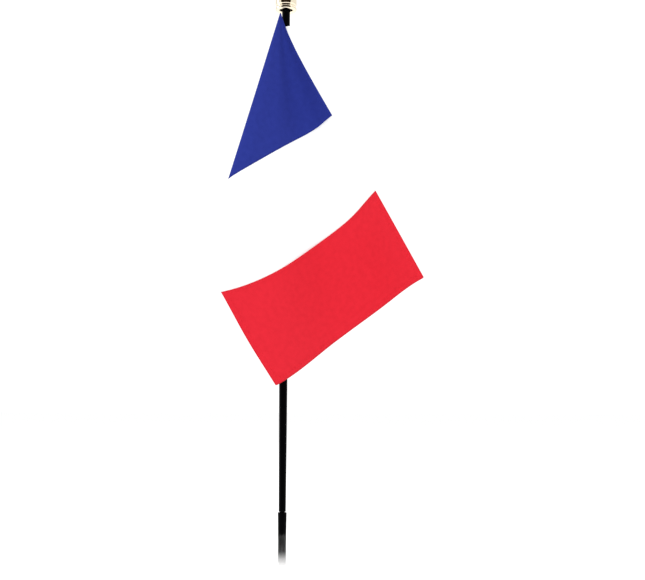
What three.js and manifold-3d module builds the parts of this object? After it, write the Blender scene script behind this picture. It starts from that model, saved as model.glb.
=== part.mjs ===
// Desk flag stand: a small cloth tricolour hung by its hoist from a slender black staff, with a gilt
// cup and spear on top and a plug that stands in a white moulded base with a steel weight inside.
//
// Millimetres, +Z up. The origin is the centre of the foot, on the surface that the stand rests on.
// The flag hangs on the -Y side of the staff and its free corner swings out towards +X.

import * as THREE from 'three';
import { mergeVertices } from 'three/addons/utils/BufferGeometryUtils.js';
import Module from 'manifold-3d';

const wasm = await Module();
wasm.setup();

// ---------------------------------------------------------------- driving dimensions

const clearance = 0.3; // between a piece and what it fits into or rests on

// base
const footRadius = 38; // a 3 inch base
const shellWall = 2;
const rimHeight = 3.5;
const neckHeight = 42.7; // top of the neck above the resting surface
const neckRadius = 4.2;
const padThickness = 1.2;
const padInset = 1;
const coverThickness = 1.5;
const coverLipHeight = 2;
const coverLipWall = 1.6;
const weightEdgeGap = 1.5; // from the top edge of the weight out to the shell
const weightThickness = 5.5;
const weightBoreRadius = 7;
const screwCount = 3;
const screwCircle = 19;
const screwShankRadius = 1.2;
const screwHeadRadius = 2.6;
const screwHeadHeight = 1.6;
const screwLength = 12;
const headSink = 1; // the screw heads come this far down inside the cover's lip
const bossWall = 1.6;
const bossTopShare = 0.6; // of the neck's height, more than the dome leaves room for

// plug at the foot of the staff
const plugLength = 40;
const plugRise = 10.7; // how far it stands out of the neck
const plugTopRadius = 2.25;
const plugBottomRadius = 1.65;
const socketWall = 1.5;

// staff
const staffLength = 279.4; // 11 inches
const staffRadius = 2.1;
const staffFootRadius = 1.8; // the staff tapers over its lower stretch
const staffTaperLength = 62;
const tenonRadius = 1.2;
const tenonLength = 7.5;

// finial
const cupRadius = 5.6;
const cupWall = 0.5;
const cupHeight = 16;
const cupBeadRadius = 1.1; // rolled bead at the mouth
const cupGrooveDepth = 0.35;
const cupLining = 0.6; // thickens the wall above the mouth
const staffGrip = 10.2; // how far the staff goes up into the cup
const collarRecess = 1.7; // from the mouth up to the collar
const studRadius = 1.5;
const studGrip = 3.2;
const spearHeight = 25;
const spearHalfWidth = 5.2;
const spearFlatness = 0.42;
const spearFootRadius = 3.4;

// flag
const flagWidth = 101.6; // 4 inches
const bluePanel = 64.7; // from the hoist, with the hem that goes round the staff
const whitePanel = 46.4;
const redPanel = 50.8;
const clothThickness = 0.8;
const cornerStart = 6; // the cloth's top corner is gathered to a point, and the panel starts here
const gatherLength = 36; // down to here the gathered cloth is pressed thinner
const cornerDrop = 1.9; // the top corner hangs this far under the cup
const cornerStandOff = 1.76; // from the outside of the sleeve to where the hoist starts
const cornerBearing = -127.9; // degrees round from +X
const sleeveWall = 0.4;
const sleeveDrop = 6.5; // the sleeve starts this far under the flag's top corner
const sleeveLength = 95;

// How the cloth falls, read round the top corner from the top edge to the hoist. Every fold runs
// straight out from that corner, so one curve of directions gives the whole drape, in degrees:
// the swing from straight down towards +X, and the lean towards the front.
const drape = [
  [27.0, 7.9],
  [18.0, 0.5],
  [10.3, 0.4],
  [0.4, 7.8],
  [-4.0, 10.3],
  [-10.5, 14.0],
  [-14.2, 14.1],
  [-13.9, 12.4],
  [-10.2, 2.2],
  [-11.4, -9.5],
  [-7.4, -12.2],
  [-3.2, -9.8],
  [-1.5, -2.5],
];

// Soft cloth gives on the bias, so each crosswise line is bowed along the flag halfway down its width,
// and skewed: pulled back above that and let out below it. The bottom edge drops at its middle.
const seamBows = { white: -1.1, red: 3.8, fly: -1.5 };
const seamSkews = { white: 2.9, red: 2.8, fly: 3.5 };
const bottomBow = 3.6;
const biasStretch = 0.041; // share by which the cloth is longer halfway between the two threads
const topSag = 12.4; // degrees by which the top edge hangs steeper at its corner
const topSagLength = 35; // and the stretch over which that eases
const topSagAngle = 45; // degrees round the corner that it reaches

// ---------------------------------------------------------------- heights that follow

const coverBottom = padThickness + clearance;
const coverTop = coverBottom + coverThickness;
const weightBottom = coverTop + coverLipHeight + screwHeadHeight - headSink;
const weightTop = weightBottom + weightThickness;
const plugTop = neckHeight + plugRise;
const plugBottom = plugTop - plugLength;
const staffShoulder = plugTop + clearance;
const staffBottom = plugTop - tenonLength;
const staffTop = staffBottom + staffLength;
const cupMouth = staffTop - staffGrip;
const cupTop = cupMouth + cupHeight;
const collarBottom = cupMouth + collarRecess;
const collarTop = cupTop - 2 * cupWall - clearance;
const studBottom = cupTop - studGrip - cupWall;
const cornerHeight = cupMouth - cornerDrop;
const sleeveTop = cornerHeight - sleeveDrop;
const sleeveInner = staffRadius + clearance;
const sleeveOuter = sleeveInner + sleeveWall;
const redStart = bluePanel + whitePanel;
const flagLength = redStart + redPanel;

// ---------------------------------------------------------------- materials

const finishes = {
  opalPlastic: { color: '#f4f4f2', roughness: 0.35, metalness: 0 },
  steel: { color: '#8d9094', roughness: 0.45, metalness: 1 },
  whitePlastic: { color: '#e9e9e6', roughness: 0.55, metalness: 0 },
  felt: { color: '#d8d8d4', roughness: 0.95, metalness: 0 },
  blackPlastic: { color: '#0b0b0c', roughness: 0.22, metalness: 0 },
  gilt: { color: '#c79a45', roughness: 0.2, metalness: 1 },
  blueCloth: { color: '#2c388e', roughness: 0.85, metalness: 0 },
  whiteCloth: { color: '#f6f6f4', roughness: 0.85, metalness: 0 },
  redCloth: { color: '#ef2c3a', roughness: 0.85, metalness: 0 },
};

const model = new THREE.Group();

function add(name, geometry, finish) {
  const mesh = new THREE.Mesh(geometry, new THREE.MeshStandardMaterial(finishes[finish]));
  mesh.name = name;
  model.add(mesh);
  return mesh;
}

// ---------------------------------------------------------------- solids

function solidOf(geometry) {
  const bare = geometry.clone();
  bare.deleteAttribute('normal');
  bare.deleteAttribute('uv');
  const merged = mergeVertices(bare, 1e-4);
  return new wasm.Manifold(new wasm.Mesh({
    numProp: 3,
    vertProperties: new Float32Array(merged.attributes.position.array),
    triVerts: new Uint32Array(merged.index.array),
  }));
}

function geometryOf(solid) {
  const mesh = solid.getMesh();
  const geometry = new THREE.BufferGeometry();
  geometry.setAttribute('position', new THREE.BufferAttribute(mesh.vertProperties, 3));
  geometry.setIndex(new THREE.BufferAttribute(mesh.triVerts, 1));
  geometry.computeVertexNormals();
  return geometry;
}

// A profile of [radius, height] pairs turned about Z. It runs up the outside and starts and ends on
// the axis, or closes on itself.
function turned(profile, segments) {
  const points = profile.map(([radius, height]) => new THREE.Vector2(radius, height));
  return new THREE.LatheGeometry(points, segments).rotateX(Math.PI / 2);
}

function rod(radiusBottom, radiusTop, bottom, top, segments) {
  return turned([[0, bottom], [radiusBottom, bottom], [radiusTop, top], [0, top]], segments);
}

function ring(inner, outer, bottom, top, segments) {
  const profile = [[inner, bottom], [outer, bottom], [outer, top], [inner, top], [inner, bottom]];
  return turned(profile, segments);
}

function arcPoints(centreRadius, centreHeight, radius, fromDegrees, toDegrees, steps) {
  const points = [];
  for (let i = 0; i <= steps; i++) {
    const angle = THREE.MathUtils.degToRad(fromDegrees + ((toDegrees - fromDegrees) * i) / steps);
    points.push([centreRadius + radius * Math.cos(angle), centreHeight + radius * Math.sin(angle)]);
  }
  return points;
}

// ---------------------------------------------------------------- base

const rimTop = coverBottom + rimHeight;
const domeRise = neckHeight - rimTop;
const domeRun = footRadius - neckRadius;

const domeSteps = 14;

// from the rim up to the neck: a low dome that sweeps into a slender trumpet neck
const domeCurve = new THREE.SplineCurve([
  new THREE.Vector2(footRadius, rimTop),
  new THREE.Vector2(footRadius - 0.06 * domeRun, rimTop + 0.1 * domeRise),
  new THREE.Vector2(footRadius - 0.3 * domeRun, rimTop + 0.33 * domeRise),
  new THREE.Vector2(footRadius - 0.65 * domeRun, rimTop + 0.57 * domeRise),
  new THREE.Vector2(footRadius - 0.92 * domeRun, rimTop + 0.82 * domeRise),
  new THREE.Vector2(neckRadius, neckHeight),
]);

// radius of the plug at a height, and of the socket that takes it
function plugRadiusAt(height) {
  const share = (height - plugBottom) / plugLength;
  return plugBottomRadius + (plugTopRadius - plugBottomRadius) * share;
}

function screwPlace(index) {
  const angle = ((index + 0.25) / screwCount) * Math.PI * 2;
  return [screwCircle * Math.cos(angle), screwCircle * Math.sin(angle)];
}

// the dome's inner face, from the rim up
function domeInside() {
  const inside = [];
  for (let i = 0; i <= domeSteps; i++) {
    const point = domeCurve.getPoint(i / domeSteps);
    const along = domeCurve.getTangent(i / domeSteps);
    inside.push([point.x - along.y * shellWall, point.y + along.x * shellWall]);
  }
  return inside.filter(([radius]) => radius > plugTopRadius + socketWall);
}

function domeInnerRadiusAt(height) {
  const inside = domeInside();
  const above = inside.findIndex(([, level]) => level > height);
  const [lowRadius, low] = inside[above - 1];
  const [highRadius, high] = inside[above];
  return THREE.MathUtils.lerp(lowRadius, highRadius, (height - low) / (high - low));
}

function baseShell() {
  const outside = domeCurve.getPoints(domeSteps).map((point) => [point.x, point.y]);
  const inside = domeInside().reverse();
  const topInside = inside[0][1];
  const mouthRadius = footRadius - shellWall + clearance;
  const skin = solidOf(turned([
    [0, topInside],
    ...inside.slice(1),
    [mouthRadius, coverBottom],
    [footRadius, coverBottom],
    ...outside,
    [0, neckHeight],
  ], 56));
  const socketBottom = plugBottom - clearance - socketWall;
  const socketTube = solidOf(rod(
    plugTopRadius + clearance + socketWall,
    plugTopRadius + clearance + socketWall,
    socketBottom,
    neckHeight - 1,
    32,
  ));
  const socketBore = solidOf(rod(
    plugRadiusAt(plugBottom) + clearance,
    plugRadiusAt(neckHeight + 1) + clearance,
    plugBottom - clearance,
    neckHeight + 1,
    32,
  ));
  let shell = skin.add(socketTube);
  const bossTop = neckHeight * bossTopShare;
  const outerBody = solidOf(turned([
    [0, coverBottom],
    [footRadius, coverBottom],
    ...outside,
    [0, neckHeight],
  ], 56));
  for (let i = 0; i < screwCount; i++) {
    const [x, y] = screwPlace(i);
    const bossRadius = screwShankRadius + clearance + bossWall;
    const boss = rod(bossRadius, bossRadius, weightTop + clearance, bossTop, 20).translate(x, y, 0);
    shell = shell.add(solidOf(boss).intersect(outerBody));
    const boreTop = weightBottom - clearance + screwLength + clearance;
    const bore = rod(
      screwShankRadius + clearance,
      screwShankRadius + clearance,
      weightBottom,
      boreTop,
      16,
    ).translate(x, y, 0);
    shell = shell.subtract(solidOf(bore));
  }
  return geometryOf(shell.subtract(socketBore));
}

function baseWeight() {
  const weightRadius = domeInnerRadiusAt(weightTop) - weightEdgeGap;
  let weight = solidOf(ring(weightBoreRadius, weightRadius, weightBottom, weightTop, 48));
  for (let i = 0; i < screwCount; i++) {
    const [x, y] = screwPlace(i);
    const radius = screwShankRadius + clearance;
    const hole = rod(radius, radius, weightBottom - 1, weightTop + 1, 16).translate(x, y, 0);
    weight = weight.subtract(solidOf(hole));
  }
  return geometryOf(weight);
}

function weightScrew(index) {
  const [x, y] = screwPlace(index);
  const seat = weightBottom - clearance;
  const tip = seat + screwLength - clearance;
  const domed = arcPoints(0, seat, screwHeadHeight, -90, -45, 3)
    .map(([radius, height]) => [radius * (screwHeadRadius / screwHeadHeight), height]);
  const profile = [
    ...domed,
    [screwHeadRadius, seat - 0.3 * screwHeadHeight],
    [screwHeadRadius, seat],
    [screwShankRadius, seat],
    [screwShankRadius, tip - screwShankRadius],
    [0.3 * screwShankRadius, tip],
    [0, tip],
  ];
  const slotWidth = 0.6;
  const slotDepth = 0.5 * screwHeadHeight;
  const slot = new THREE.BoxGeometry(2.2 * screwHeadRadius, slotWidth, slotDepth);
  slot.translate(0, 0, seat - screwHeadHeight + slotDepth / 2 - 0.01);
  const screw = solidOf(turned(profile, 20)).subtract(solidOf(slot));
  return geometryOf(screw).translate(x, y, 0);
}

function baseCover() {
  const radius = footRadius - shellWall;
  const lipRadius = radius - 1;
  return turned([
    [0, coverBottom],
    [radius - 0.4, coverBottom],
    [radius, coverBottom + 0.4],
    [radius, coverTop],
    [lipRadius, coverTop],
    [lipRadius, coverTop + coverLipHeight],
    [lipRadius - coverLipWall, coverTop + coverLipHeight],
    [lipRadius - coverLipWall, coverTop],
    [0, coverTop],
  ], 56);
}

add('base_shell', baseShell(), 'opalPlastic');
add('base_weight', baseWeight(), 'steel');
for (let i = 0; i < screwCount; i++) {
  add(`weight_screw_${i + 1}`, weightScrew(i), 'steel');
}
add('base_cover', baseCover(), 'whitePlastic');
add('foot_pad', rod(footRadius - padInset, footRadius - padInset, 0, padThickness, 56), 'felt');

// ---------------------------------------------------------------- plug and staff

function plugFerrule() {
  const edge = 0.3;
  const boreRadius = tenonRadius + clearance;
  const boreBottom = staffBottom - clearance;
  return turned([
    [0, plugBottom],
    [plugBottomRadius - edge, plugBottom],
    [plugBottomRadius, plugBottom + edge],
    [plugTopRadius, plugTop - edge],
    [plugTopRadius - edge, plugTop],
    [boreRadius, plugTop],
    [boreRadius, boreBottom],
    [0, boreBottom],
  ], 32);
}

function staff() {
  const edge = 0.3;
  return turned([
    [0, staffBottom],
    [tenonRadius - edge, staffBottom],
    [tenonRadius, staffBottom + edge],
    [tenonRadius, staffShoulder],
    [staffFootRadius - edge, staffShoulder],
    [staffFootRadius, staffShoulder + edge],
    [staffRadius, staffShoulder + staffTaperLength],
    [staffRadius, staffTop - edge],
    [staffRadius - edge, staffTop],
    [0, staffTop],
  ], 28);
}

add('plug_ferrule', plugFerrule(), 'blackPlastic');
add('staff', staff(), 'blackPlastic');

// ---------------------------------------------------------------- finial

function finialCup() {
  const inner = cupRadius - cupWall;
  const beadHeight = cupMouth + cupBeadRadius;
  const grooveHeight = beadHeight + cupBeadRadius + 0.4;
  const stemHole = studRadius + clearance;
  return turned([
    [inner, beadHeight],
    ...arcPoints(cupRadius - cupBeadRadius, beadHeight, cupBeadRadius, -90, 60, 7),
    [cupRadius - cupGrooveDepth, grooveHeight],
    [cupRadius, grooveHeight + 0.5],
    [cupRadius, cupTop - 0.8],
    [cupRadius - 0.8, cupTop],
    [stemHole, cupTop],
    [stemHole, cupTop - 2 * cupWall],
    [inner - cupLining, cupTop - 2 * cupWall],
    [inner - cupLining, grooveHeight],
    [inner, beadHeight],
  ], 40);
}

function finialCollar() {
  const outer = cupRadius - cupWall - cupLining - clearance;
  const staffBore = staffRadius + clearance;
  const studBore = studRadius + clearance;
  return turned([
    [staffBore, collarBottom],
    [outer - 0.4, collarBottom],
    [outer, collarBottom + 0.4],
    [outer, collarTop],
    [studBore, collarTop],
    [studBore, staffTop + clearance],
    [staffBore, staffTop + clearance],
    [staffBore, collarBottom],
  ], 28);
}

// a leaf-shaped spear with a turned foot, and the stud that goes down into the collar
function finialSpear() {
  const footBottom = cupTop + clearance;
  const footTop = footBottom + 0.16 * spearHeight;
  const blade = new THREE.SplineCurve([
    new THREE.Vector2(1.6, footTop),
    new THREE.Vector2(0.62 * spearHalfWidth, footTop + 0.14 * spearHeight),
    new THREE.Vector2(spearHalfWidth, footTop + 0.32 * spearHeight),
    new THREE.Vector2(0.6 * spearHalfWidth, footTop + 0.58 * spearHeight),
    new THREE.Vector2(0.35, footBottom + spearHeight - 0.3),
  ]);
  const bladeProfile = blade.getPoints(16).map((point) => [point.x, point.y]);
  const leaf = turned([[0, footTop], ...bladeProfile, [0, footBottom + spearHeight]], 32);
  leaf.scale(1, spearFlatness, 1);
  const foot = turned([
    [0, studBottom],
    [studRadius, studBottom],
    [studRadius, footBottom],
    [spearFootRadius - 0.4, footBottom],
    ...arcPoints(spearFootRadius - 0.9, footBottom + 0.9, 0.9, -45, 75, 5),
    [1.9, footTop - 0.8],
    [1.5, footTop + 0.6],
    [0, footTop + 0.6],
  ], 32);
  return geometryOf(solidOf(foot).add(solidOf(leaf)));
}

add('finial_cup', finialCup(), 'gilt');
add('finial_collar', finialCollar(), 'whitePlastic');
add('finial_spear', finialSpear(), 'gilt');

// ---------------------------------------------------------------- flag

const drapeCurve = new THREE.CatmullRomCurve3(
  drape.map(([swing, lean]) => new THREE.Vector3(swing, lean, 0)),
);
drapeCurve.arcLengthDivisions = 400;

const hoistAngle = THREE.MathUtils.degToRad(cornerBearing);
const hoistReach = sleeveOuter + cornerStandOff;
const topCorner = new THREE.Vector3(
  hoistReach * Math.cos(hoistAngle),
  hoistReach * Math.sin(hoistAngle),
  cornerHeight,
);

// the way out of the top corner: 0 lies along the top edge and a quarter turn down the hoist
function wayAt(angle, reach) {
  const share = THREE.MathUtils.clamp(angle / (Math.PI / 2), 0, 1);
  const at = drapeCurve.getPointAt(share);
  const sagShare = Math.max(1 - THREE.MathUtils.radToDeg(angle) / topSagAngle, 0);
  const sag = topSag * Math.exp(-reach / topSagLength) * sagShare;
  const swing = THREE.MathUtils.degToRad(at.x - sag);
  const lean = THREE.MathUtils.degToRad(at.y);
  return new THREE.Vector3(
    Math.sin(swing) * Math.cos(lean),
    -Math.sin(lean),
    -Math.cos(swing) * Math.cos(lean),
  );
}

function faceAt(angle, reach) {
  const step = 0.01;
  const before = wayAt(Math.max(angle - step, 0), reach);
  const after = wayAt(Math.min(angle + step, Math.PI / 2), reach);
  return wayAt(angle, reach).cross(after.sub(before)).normalize();
}

// a value given at the three crosswise lines, and nothing at the hoist, read at any length
function alongFlag(values, along) {
  const stations = [[0, 0], [bluePanel, values.white], [redStart, values.red], [flagLength, values.fly]];
  const next = stations.findIndex(([station]) => station >= along - 1e-6);
  if (next <= 0) return 0;
  const [from, valueFrom] = stations[next - 1];
  const [to, valueTo] = stations[next];
  return THREE.MathUtils.lerp(valueFrom, valueTo, (along - from) / (to - from));
}

// A point of the flat cloth, along from the hoist and down from the top edge, where it hangs. The
// side is 1 on one face and -1 on the other.
function hung(along, down, side) {
  const across = down / flagWidth;
  const lengthwise = along / flagLength;
  const bow = alongFlag(seamBows, along) + alongFlag(seamSkews, along) * (2 * across - 1);
  const bowed = along + 4 * across * (1 - across) * bow;
  const dropped = down + 4 * lengthwise * (1 - lengthwise) * bottomBow * across;
  const angle = Math.atan2(dropped, bowed);
  const reach = Math.hypot(bowed, dropped) * (1 + biasStretch * Math.sin(2 * angle));
  const pressed = Math.min(reach / gatherLength, 1);
  return topCorner.clone()
    .addScaledVector(wayAt(angle, reach), reach)
    .addScaledVector(faceAt(angle, reach), side * pressed * (clothThickness / 2));
}

// a closed sheet on a grid of flat points: the back face, the front face and the four edges
function clothSolid(columns, rows, flatAt) {
  const positions = [];
  const index = [];
  const perLayer = (columns + 1) * (rows + 1);
  for (const side of [1, -1]) {
    for (let row = 0; row <= rows; row++) {
      for (let column = 0; column <= columns; column++) {
        const [along, down] = flatAt(column, row);
        positions.push(...hung(along, down, side).toArray());
      }
    }
  }
  const at = (column, row, layer) => layer * perLayer + row * (columns + 1) + column;
  const quad = (a, b, c, d) => index.push(a, b, c, a, c, d);
  for (let row = 0; row < rows; row++) {
    for (let column = 0; column < columns; column++) {
      quad(at(column, row, 0), at(column + 1, row, 0), at(column + 1, row + 1, 0), at(column, row + 1, 0));
      quad(at(column, row, 1), at(column, row + 1, 1), at(column + 1, row + 1, 1), at(column + 1, row, 1));
    }
  }
  for (let column = 0; column < columns; column++) {
    quad(at(column, 0, 0), at(column, 0, 1), at(column + 1, 0, 1), at(column + 1, 0, 0));
    quad(at(column, rows, 0), at(column + 1, rows, 0), at(column + 1, rows, 1), at(column, rows, 1));
  }
  for (let row = 0; row < rows; row++) {
    quad(at(0, row, 0), at(0, row + 1, 0), at(0, row + 1, 1), at(0, row, 1));
    quad(at(columns, row, 0), at(columns, row, 1), at(columns, row + 1, 1), at(columns, row + 1, 0));
  }
  const geometry = new THREE.BufferGeometry();
  geometry.setAttribute('position', new THREE.Float32BufferAttribute(positions, 3));
  geometry.setIndex(index);
  geometry.computeVertexNormals();
  return geometry;
}

const seamGap = clearance / 2;
const seamRows = 48; // the panels share their rows along a seam, so that their edges run side by side

// white and red: a plain grid between two seams
function panel(from, to) {
  const columns = 8;
  return clothSolid(columns, seamRows, (column, row) => [
    from + ((to - from) * column) / columns,
    (flagWidth * row) / seamRows,
  ]);
}

// blue: rays from the rounded top corner out to its seam and then its bottom edge
function hoistPanel() {
  const seam = bluePanel - seamGap;
  const cornerAngle = Math.atan2(flagWidth, seam);
  const rowsToHoist = 18;
  const columns = 7;
  return clothSolid(columns, seamRows + rowsToHoist, (column, row) => {
    const beyond = row - seamRows;
    const angle = beyond <= 0
      ? Math.atan2((flagWidth * row) / seamRows, seam)
      : cornerAngle + ((Math.PI / 2 - cornerAngle) * beyond) / rowsToHoist;
    const edge = beyond <= 0 ? seam / Math.cos(angle) : flagWidth / Math.sin(angle);
    const reach = cornerStart + ((edge - cornerStart) * column) / columns;
    return [reach * Math.cos(angle), reach * Math.sin(angle)];
  });
}

// the sleeve is the hoist hem, glued round the staff
function poleSleeve() {
  return ring(sleeveInner, sleeveOuter, sleeveTop - sleeveLength, sleeveTop, 28);
}

add('pole_sleeve', poleSleeve(), 'whiteCloth');
add('flag_blue', hoistPanel(), 'blueCloth');
add('flag_white', panel(bluePanel + seamGap, redStart - seamGap), 'whiteCloth');
add('flag_red', panel(redStart + seamGap, flagLength), 'redCloth');

export default model;
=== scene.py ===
import math
import random

import bpy
from mathutils import Matrix, Vector


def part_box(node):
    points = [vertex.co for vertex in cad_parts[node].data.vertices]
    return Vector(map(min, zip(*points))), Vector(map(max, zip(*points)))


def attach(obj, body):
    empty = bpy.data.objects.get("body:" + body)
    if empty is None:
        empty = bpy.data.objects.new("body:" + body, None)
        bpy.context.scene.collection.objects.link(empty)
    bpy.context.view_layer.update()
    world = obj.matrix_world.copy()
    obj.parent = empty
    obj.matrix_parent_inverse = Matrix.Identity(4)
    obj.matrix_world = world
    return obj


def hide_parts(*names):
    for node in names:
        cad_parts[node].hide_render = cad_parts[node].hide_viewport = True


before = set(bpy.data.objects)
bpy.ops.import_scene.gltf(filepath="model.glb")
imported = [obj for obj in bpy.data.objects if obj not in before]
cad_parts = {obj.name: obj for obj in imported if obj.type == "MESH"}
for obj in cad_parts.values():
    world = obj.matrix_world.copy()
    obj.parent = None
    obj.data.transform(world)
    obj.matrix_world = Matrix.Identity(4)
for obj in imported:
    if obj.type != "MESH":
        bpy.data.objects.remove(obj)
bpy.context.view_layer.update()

mm = 0.001


# ---- where things are, read from the frame

staffLow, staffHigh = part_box("staff")
shellLow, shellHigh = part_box("base_shell")
padLow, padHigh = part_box("foot_pad")
plugLow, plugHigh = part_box("plug_ferrule")
cupLow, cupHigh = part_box("finial_cup")
spearLow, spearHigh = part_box("finial_spear")
sleeveLow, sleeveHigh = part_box("pole_sleeve")


# ---- camera first, so that every piece can be judged from it

view = {
    "distance": 0.555,      # from the staff
    "right": 0.0199,        # of the staff
    "height": 0.1074,       # above the desk
    "pitch": 6.07,          # degrees up
    "roll": 0.22,
    "lens": 60.33,
}


def placeCamera():
    data = bpy.data.cameras.new("camera")
    data.lens = view["lens"]
    data.sensor_width = 36
    data.clip_start = 0.01
    camera = bpy.data.objects.new("camera", data)
    bpy.context.scene.collection.objects.link(camera)
    tilt = Matrix.Rotation(math.radians(90 + view["pitch"]), 4, "X")
    roll = Matrix.Rotation(math.radians(view["roll"]), 4, "Z")
    place = Matrix.Translation((view["right"], -view["distance"], view["height"]))
    camera.matrix_world = place @ tilt @ roll
    bpy.context.scene.camera = camera


placeCamera()
print("camera placed")


# ---- small helpers for meshes

def newPiece(name, mesh, material, body, nodes=(), smoothAngle=35):
    piece = bpy.data.objects.new(name, mesh)
    bpy.context.scene.collection.objects.link(piece)
    mesh.materials.append(material)
    for face in mesh.polygons:
        face.use_smooth = True
    mesh.set_sharp_from_angle(angle=math.radians(smoothAngle))
    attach(piece, body)
    if nodes:
        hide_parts(*nodes)
    return piece


def meshFrom(name, points, faces, uvs=None):
    mesh = bpy.data.meshes.new(name)
    mesh.from_pydata([tuple(p) for p in points], [], faces)
    mesh.validate()
    if uvs:
        layer = mesh.uv_layers.new(name="cloth")
        for loop in mesh.loops:
            layer.data[loop.index].uv = uvs[loop.vertex_index]
    mesh.update()
    return mesh


def softened(profile, radius, steps=4):
    # rounds each inner corner of a [radius, height] outline with a short curve
    out = [profile[0]]
    for before, here, after in zip(profile, profile[1:], profile[2:]):
        a, b, c = Vector(before), Vector(here), Vector(after)
        inLength = min(radius, (a - b).length * 0.45)
        outLength = min(radius, (c - b).length * 0.45)
        start = b + (a - b).normalized() * inLength
        end = b + (c - b).normalized() * outLength
        for i in range(steps + 1):
            t = i / steps
            out.append(tuple(start * (1 - t) ** 2 + b * 2 * t * (1 - t) + end * t * t))
    out.append(profile[-1])
    return out


def turned(name, profile, steps, closed=False):
    # a [radius, height] outline turned about the staff's axis; it runs up the outside
    points, faces, rings = [], [], []
    for radius, height in profile:
        if radius < 1e-7:
            rings.append([len(points)])
            points.append((0, 0, height))
            continue
        rings.append(list(range(len(points), len(points) + steps)))
        for i in range(steps):
            turn = 2 * math.pi * i / steps
            points.append((radius * math.cos(turn), radius * math.sin(turn), height))
    pairs = list(zip(rings, rings[1:]))
    if closed:
        pairs.append((rings[-1], rings[0]))
    for low, high in pairs:
        for i in range(steps):
            j = (i + 1) % steps
            if len(low) == 1 and len(high) == 1:
                continue
            if len(low) == 1:
                faces.append((low[0], high[j], high[i]))
            elif len(high) == 1:
                faces.append((low[i], low[j], high[0]))
            else:
                faces.append((low[i], low[j], high[j], high[i]))
    return meshFrom(name, points, faces)


def smoothLine(points, steps, alpha=0.0):
    # a Catmull-Rom curve through the points: alpha 0 is the even kind, 0.5 the centripetal kind
    vectors = [Vector(p) for p in points]
    ends = [vectors[0] * 2 - vectors[1]] + vectors + [vectors[-1] * 2 - vectors[-2]]
    line = []
    for p0, p1, p2, p3 in zip(ends, ends[1:], ends[2:], ends[3:]):
        knots = [0.0]
        for a, b in ((p0, p1), (p1, p2), (p2, p3)):
            knots.append(knots[-1] + max((b - a).length, 1e-6) ** alpha)
        t0, t1, t2, t3 = knots
        for i in range(steps):
            t = t1 + (t2 - t1) * i / steps
            a1 = p0 * ((t1 - t) / (t1 - t0)) + p1 * ((t - t0) / (t1 - t0))
            a2 = p1 * ((t2 - t) / (t2 - t1)) + p2 * ((t - t1) / (t2 - t1))
            a3 = p2 * ((t3 - t) / (t3 - t2)) + p3 * ((t - t2) / (t3 - t2))
            b1 = a1 * ((t2 - t) / (t2 - t0)) + a2 * ((t - t0) / (t2 - t0))
            b2 = a2 * ((t3 - t) / (t3 - t1)) + a3 * ((t - t1) / (t3 - t1))
            line.append(b1 * ((t2 - t) / (t2 - t1)) + b2 * ((t - t1) / (t2 - t1)))
    line.append(vectors[-1])
    return line


# ---- shader groups that several finishes share

def newGroup(name, inputs, outputs):
    group = bpy.data.node_groups.new(name, "ShaderNodeTree")
    for socketName, kind, value in inputs:
        socket = group.interface.new_socket(name=socketName, in_out="INPUT", socket_type=kind)
        if value is not None:
            socket.default_value = value
    for socketName, kind in outputs:
        group.interface.new_socket(name=socketName, in_out="OUTPUT", socket_type=kind)
    start = group.nodes.new("NodeGroupInput")
    end = group.nodes.new("NodeGroupOutput")
    return group, start, end


def mathNode(tree, operation, first, second=None):
    node = tree.nodes.new("ShaderNodeMath")
    node.operation = operation
    for socket, value in zip(node.inputs, (first, second)):
        if value is None:
            continue
        if isinstance(value, (int, float)):
            socket.default_value = value
        else:
            tree.links.new(value, socket)
    return node.outputs[0]


def mixColour(tree, mask, first, second):
    node = tree.nodes.new("ShaderNodeMix")
    node.data_type = "RGBA"
    for socket, value in ((node.inputs[0], mask), (node.inputs[6], first), (node.inputs[7], second)):
        if isinstance(value, (int, float, tuple)):
            socket.default_value = value
        else:
            tree.links.new(value, socket)
    return node.outputs[2]


def spread(tree, value, low, high, newLow, newHigh):
    # maps low..high to newLow..newHigh, and holds the ends beyond
    node = tree.nodes.new("ShaderNodeMapRange")
    tree.links.new(value, node.inputs[0])
    for socket, number in zip(node.inputs[1:5], (low, high, newLow, newHigh)):
        socket.default_value = number
    return node.outputs[0]


def noiseNode(tree, vector, scale, detail=3.0):
    node = tree.nodes.new("ShaderNodeTexNoise")
    node.inputs["Detail"].default_value = detail
    if isinstance(scale, (int, float)):
        node.inputs["Scale"].default_value = scale
    else:
        tree.links.new(scale, node.inputs["Scale"])
    tree.links.new(vector, node.inputs["Vector"])
    return node.outputs["Fac"]


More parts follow.
